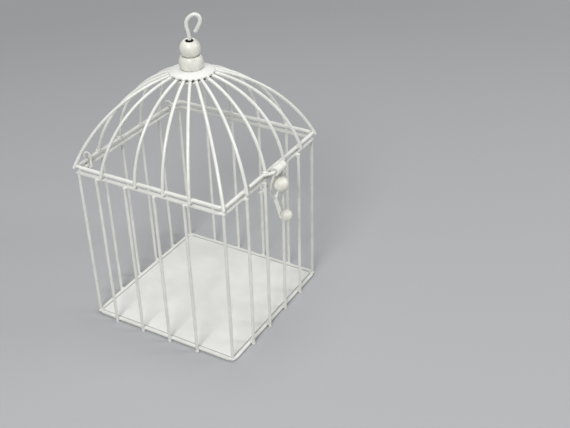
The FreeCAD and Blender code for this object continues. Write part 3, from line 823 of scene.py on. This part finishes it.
class CAGE_OT_turn_hasp_balls(bpy.types.Operator):
    """Turn the catch ball and the pull bead, with collars of paint on their wires."""

    bl_idname = "cage.turn_hasp_balls"
    bl_label = "Turn Hasp Balls"

    def execute(self, context):
        fittings = context.scene.cage_fittings
        material = finish("cage_bead", bead_paint, context.scene.cage_paint)
        stem = node_radius("catch_stem")
        catch = collared_ball(node_radius("catch_ball"), stem, fittings.collar)
        catch_place = node_centre("catch_ball")
        catch_place.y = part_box("catch_ball")[0].y + node_radius("catch_ball")
        piece = new_piece("catch_ball_turned", spun(catch, catch_place, BACK, closed=False), material,
                          "cage")
        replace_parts(piece, "catch_ball")
        heel = lowest_end("hasp_loop", fittings.hasp_wire)
        pull_place = node_centre("pull_bead")
        tail = Vector((0, heel.y - pull_place.y, heel.z - pull_place.z)).normalized()
        pull = collared_ball(node_radius("pull_bead"), fittings.hasp_wire, fittings.collar)
        piece = new_piece("pull_bead_turned", spun(pull, pull_place, tail, closed=False), material,
                          "hasp")
        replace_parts(piece, "pull_bead")
        return {"FINISHED"}


class CAGE_OT_wind_barrel(bpy.types.Operator):
    """Wind the hasp's barrel as a close coil under paint."""

    bl_idname = "cage.wind_barrel"
    bl_label = "Wind Barrel"

    def execute(self, context):
        fittings = context.scene.cage_fittings
        length = node_span("hasp_barrel").x
        radius = node_span("hasp_barrel").z / 2
        outline = ridged_tube(radius, fittings.barrel_bore / 2, length, fittings.barrel_turns,
                              fittings.barrel_groove)
        shape = spun(outline, node_centre("hasp_barrel"), RIGHT)
        material = finish("cage_wire", wire_enamel, context.scene.cage_paint)
        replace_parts(new_piece("hasp_barrel_wound", shape, material, "hasp"), "hasp_barrel")
        return {"FINISHED"}


class CAGE_OT_bend_hook(bpy.types.Operator):
    """Bend the hook in one smooth sweep, from the shank round the open eye."""

    bl_idname = "cage.bend_hook"
    bl_label = "Bend Hook"

    def execute(self, context):
        along = Vector((math.cos(PHOTO_HEADING), math.sin(PHOTO_HEADING), 0))
        bead_top = node_centre("upper_bead").z + node_radius("upper_bead")
        points = [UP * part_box("hook")[0].z]
        points += [along * (reach * MM) + UP * (bead_top + rise * MM) for reach, rise in HOOK_LINE]
        shape = swept_wire(smooth_path(points), RING_WIRE / 2, along.cross(UP))
        lip = context.scene.cage_fittings.lip
        centre, _ = bore_lip(node_radius("upper_bead"), BEAD_BORE, lip)
        mouth = node_centre("upper_bead").z + centre.z + lip
        # Painted shade: the hook's shank is painted near black below the upper bead's mouth
        material = finish("cage_hook", wire_enamel, context.scene.cage_paint, "cage_hook", mouth)
        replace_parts(new_piece("hook_bent", shape, material, "hook"), "hook")
        return {"FINISHED"}


class CAGE_OT_weld_bars(bpy.types.Operator):
    """Lay the welds between the bars and the bottom and body rings, and the paint on the bars' feet."""

    bl_idname = "cage.weld_bars"
    bl_label = "Weld Bars"

    def execute(self, context):
        welds = context.scene.cage_welds
        layer = WeldLayer(welds, WELD_SEED)
        for name in BARS:
            low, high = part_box(name)
            bar = (low + high) / 2
            if name.startswith("corner"):
                for height in (low.z + welds.depth / 2, high.z - welds.depth / 2):
                    layer.lay(Vector((bar.x, bar.y, height)), UP, RIGHT, **CORNER_WELD)
                continue
            on_ring = nearest_on_ring(bar, welds.ring_corner)
            outward = Vector((bar.x - on_ring.x, bar.y - on_ring.y, 0)).normalized()
            contact = on_ring + outward * (RING_WIRE / 2)
            layer.lay(contact + UP * (BASE_HEIGHT + welds.base_lift), outward, UP, **BASE_WELD)
            layer.lay(contact + UP * (high.z - welds.depth / 2), outward, UP)
            layer.cap(name, UP, BAR_WIRE)
            foot = Vector((bar.x, bar.y, welds.foot_height))
            layer.lay(foot, UP, outward, reach=welds.foot_share, **FOOT_DROP)
        layer.close("bar_welds", "cage")
        return {"FINISHED"}


class CAGE_OT_weld_ribs(bpy.types.Operator):
    """Lay the welds between the ribs, the lid ring and the crown plate."""

    bl_idname = "cage.weld_ribs"
    bl_label = "Weld Ribs"

    def execute(self, context):
        welds = context.scene.cage_welds
        layer = WeldLayer(welds, WELD_SEED + 1)
        crown_radius = node_radius("crown_plate")
        crown_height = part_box("crown_plate")[0].z
        for name in RIBS:
            end = lowest_end(name, BAR_WIRE / 2)
            layer.cap(name, end - node_centre(name), BAR_WIRE)
            spoke = Vector((node_centre(name).x, node_centre(name).y, 0)).normalized()
            crown = spoke * (crown_radius - welds.crown_inset) + UP * crown_height
            layer.lay(crown, UP, spoke, **CROWN_WELD)
            if name.startswith("back"):
                layer.lay(Vector((end.x, HALF_SIDE, LID_HEIGHT + RING_WIRE / 2)), UP, RIGHT)
                continue
            if end.z > LID_HEIGHT + RING_WIRE / 2:
                layer.lay(end, UP, RIGHT)
                continue
            on_ring = nearest_on_ring(end, welds.ring_corner)
            outward = Vector((end.x - on_ring.x, end.y - on_ring.y, 0)).normalized()
            layer.lay(on_ring + outward * (RING_WIRE / 2) + UP * LID_HEIGHT, outward, UP)
        layer.close("rib_welds", "lid")
        return {"FINISHED"}


class CAGE_OT_weld_fittings(bpy.types.Operator):
    """Lay the welds of the pin, the hinge loops, the catch and the hasp."""

    bl_idname = "cage.weld_fittings"
    bl_label = "Weld Fittings"

    def execute(self, context):
        welds = context.scene.cage_welds
        self.weld_pin(welds)
        self.weld_cage_fittings(welds)
        self.weld_hasp(welds, context.scene.cage_fittings)
        return {"FINISHED"}

    def weld_pin(self, welds):
        """Three tacks along the pin where it lies on the front rail."""
        layer = WeldLayer(welds, WELD_SEED + 2)
        pin_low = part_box("latch_pin")[0]
        upward = (FRONT + UP).normalized()
        contact = FRONT * HALF_SIDE + UP * LID_HEIGHT + upward * (RING_WIRE / 2)
        barrel_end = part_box("hasp_barrel")[0].x
        layer.cap("latch_pin", -RIGHT, BAR_WIRE)
        for share in PIN_TACKS:
            across = pin_low.x + (barrel_end - pin_low.x) * share
            layer.lay(contact + RIGHT * across, upward, RIGHT, **PIN_TACK)
        layer.close("pin_welds", "lid")

    def weld_cage_fittings(self, welds):
        """The hinge loops on the body ring, the crossbar on its two bars and the stem on the crossbar."""
        layer = WeldLayer(welds, WELD_SEED + 3)
        for name in ("hinge_loop_left", "hinge_loop_right"):
            across = node_centre(name).x
            layer.lay(Vector((across, HALF_SIDE, BODY_HEIGHT - RING_WIRE / 2)), UP, RIGHT, **LOOP_WELD)
        crossbar = node_centre("catch_crossbar")
        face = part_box("catch_crossbar")[0].y
        for name in ("front_bar_2", "front_bar_3"):
            layer.lay(Vector((node_centre(name).x, face, crossbar.z)), FRONT, UP, **CROSSBAR_WELD)
        layer.lay(Vector((node_centre("catch_stem").x, face, crossbar.z)), FRONT, UP, **STEM_WELD)
        for heading in (-RIGHT, RIGHT):
            layer.cap("catch_crossbar", heading, node_span("catch_crossbar").z)
        layer.close("fitting_welds", "cage")

    def weld_hasp(self, welds, fittings):
        """The hasp's legs on the barrel's ends, and the paint between the paired wires of its tail."""
        layer = WeldLayer(welds, WELD_SEED + 4)
        low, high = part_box("hasp_barrel")
        middle = (low + high) / 2
        height = middle.lerp(low, LEG_DROP).z
        for across, outward in ((low.x, -RIGHT), (high.x, RIGHT)):
            layer.lay(Vector((across, middle.y, height)), outward, UP, **LEG_WELD)
        throat = middle + BACK * fittings.throat_back - UP * fittings.throat_drop
        heel = middle + FRONT * fittings.heel_out - UP * fittings.heel_drop
        for index in range(TAIL_RUNS):
            layer.lay(throat.lerp(heel, index / TAIL_RUNS), RIGHT, heel - throat, **TAIL_RUN)
        layer.close("hasp_welds", "hasp")


class CAGE_OT_build_stage(bpy.types.Operator):
    """Set the studio: paper floor, softboxes, ambient light and camera."""

    bl_idname = "cage.build_stage"
    bl_label = "Build Stage"

    def execute(self, context):
        stage = context.scene.cage_stage
        self.lay_floor(stage)
        self.light_world(context.scene, stage)
        self.hang_softbox("left_softbox", stage.left_power, stage.left_place, stage.side_width)
        self.hang_softbox("right_softbox", stage.right_power, stage.right_place, stage.side_width)
        self.hang_softbox("top_softbox", stage.top_power, stage.top_place, stage.top_width)
        self.set_camera(context.scene, stage)
        context.scene.view_settings.view_transform = "Standard"
        return {"FINISHED"}

    def lay_floor(self, stage):
        """A wide round sheet of paper under the cage."""
        shape = bmesh.new()
        bmesh.ops.create_circle(shape, cap_ends=True, segments=SPIN_STEPS, radius=stage.floor_radius)
        mesh = bpy.data.meshes.new("studio_floor")
        shape.to_mesh(mesh)
        shape.free()
        mesh.materials.append(finish("studio_paper", studio_paper, stage))
        floor = bpy.data.objects.new("studio_floor", mesh)
        bpy.context.scene.collection.objects.link(floor)

    def light_world(self, scene, stage):
        """Even light from all round, and a pale backdrop for what the camera and reflections see."""
        sheet = NodeSheet(bpy.data.worlds.new("studio_world"), "Background")
        rays = sheet.add("ShaderNodeLightPath").outputs
        reflected = sheet.measure("MAXIMUM", rays["Is Glossy Ray"], rays["Is Transmission Ray"])
        seen = sheet.measure("MAXIMUM", rays["Is Camera Ray"], reflected)
        sheet.give("Color", stage.ambient_colour)
        strength = sheet.between(seen, low=stage.world_strength, high=stage.backdrop_strength)
        sheet.give("Strength", strength)
        scene.world = sheet.owner

    def hang_softbox(self, name, power, place, width):
        """A square softbox that faces the cage."""
        light = bpy.data.lights.new(name, "AREA")
        light.energy = power
        light.size = width
        lamp = bpy.data.objects.new(name, light)
        aim = Vector((0, 0, BODY_HEIGHT / 2))
        lamp.location = place
        lamp.rotation_euler = (aim - place).to_track_quat("-Z", "Y").to_euler()
        bpy.context.scene.collection.objects.link(lamp)

    def set_camera(self, scene, stage):
        """The camera, at the photograph's angle and framing."""
        azimuth = stage.camera_azimuth
        elevation = stage.camera_elevation
        back = Vector((math.sin(azimuth) * math.cos(elevation),
                       -math.cos(azimuth) * math.cos(elevation), math.sin(elevation)))
        level_right = Vector((math.cos(azimuth), math.sin(azimuth), 0))
        level_up = back.cross(level_right)
        roll = stage.camera_roll
        right = level_right * math.cos(roll) + level_up * math.sin(roll)
        up = level_up * math.cos(roll) - level_right * math.sin(roll)
        camera = bpy.data.cameras.new("studio_camera")
        camera.sensor_width = SENSOR_WIDTH
        camera.lens = stage.lens
        holder = bpy.data.objects.new("studio_camera", camera)
        place = UP * stage.aim_height + right * stage.aim_right + back * stage.camera_distance
        holder.matrix_world = axes_matrix(right, up, back, place)
        scene.collection.objects.link(holder)
        scene.camera = holder


class CAGE_PT_card_cage(bpy.types.Panel):
    """Sizes, colours and steps of the card cage."""

    bl_idname = "CAGE_PT_card_cage"
    bl_label = "Card Cage"
    bl_space_type = "VIEW_3D"
    bl_region_type = "UI"
    bl_category = "Card Cage"

    def draw(self, context):
        layout = self.layout
        for step in STEPS:
            layout.operator(step.bl_idname)
        for name in GROUPS:
            group = getattr(context.scene, name)
            for key in group.__annotations__:
                layout.prop(group, key)


STEPS = [
    CAGE_OT_paint_wires,
    CAGE_OT_paint_sheets,
    CAGE_OT_turn_finial,
    CAGE_OT_turn_hasp_balls,
    CAGE_OT_wind_barrel,
    CAGE_OT_bend_hook,
    CAGE_OT_weld_bars,
    CAGE_OT_weld_ribs,
    CAGE_OT_weld_fittings,
    CAGE_OT_build_stage,
]
GROUPS = {
    "cage_paint": CagePaint,
    "cage_welds": CageWelds,
    "cage_fittings": CageFittings,
    "cage_stage": CageStage,
}
CLASSES = [*GROUPS.values(), *STEPS, CAGE_PT_card_cage]


def register():
    """Register the classes and hang the settings on the scene."""
    for each in CLASSES:
        bpy.utils.register_class(each)
    for name, group in GROUPS.items():
        setattr(bpy.types.Scene, name, bpy.props.PointerProperty(type=group))


def unregister():
    """Take the settings and the classes off again."""
    for name in GROUPS:
        delattr(bpy.types.Scene, name)
    for each in reversed(CLASSES):
        bpy.utils.unregister_class(each)


def main():
    """Build the cage's looks in order."""
    register()
    bpy.ops.cage.paint_wires()
    bpy.ops.cage.paint_sheets()
    bpy.ops.cage.turn_finial()
    bpy.ops.cage.turn_hasp_balls()
    bpy.ops.cage.wind_barrel()
    bpy.ops.cage.bend_hook()
    bpy.ops.cage.weld_bars()
    bpy.ops.cage.weld_ribs()
    bpy.ops.cage.weld_fittings()
    bpy.ops.cage.build_stage()


if __name__ == "__main__":
    main()
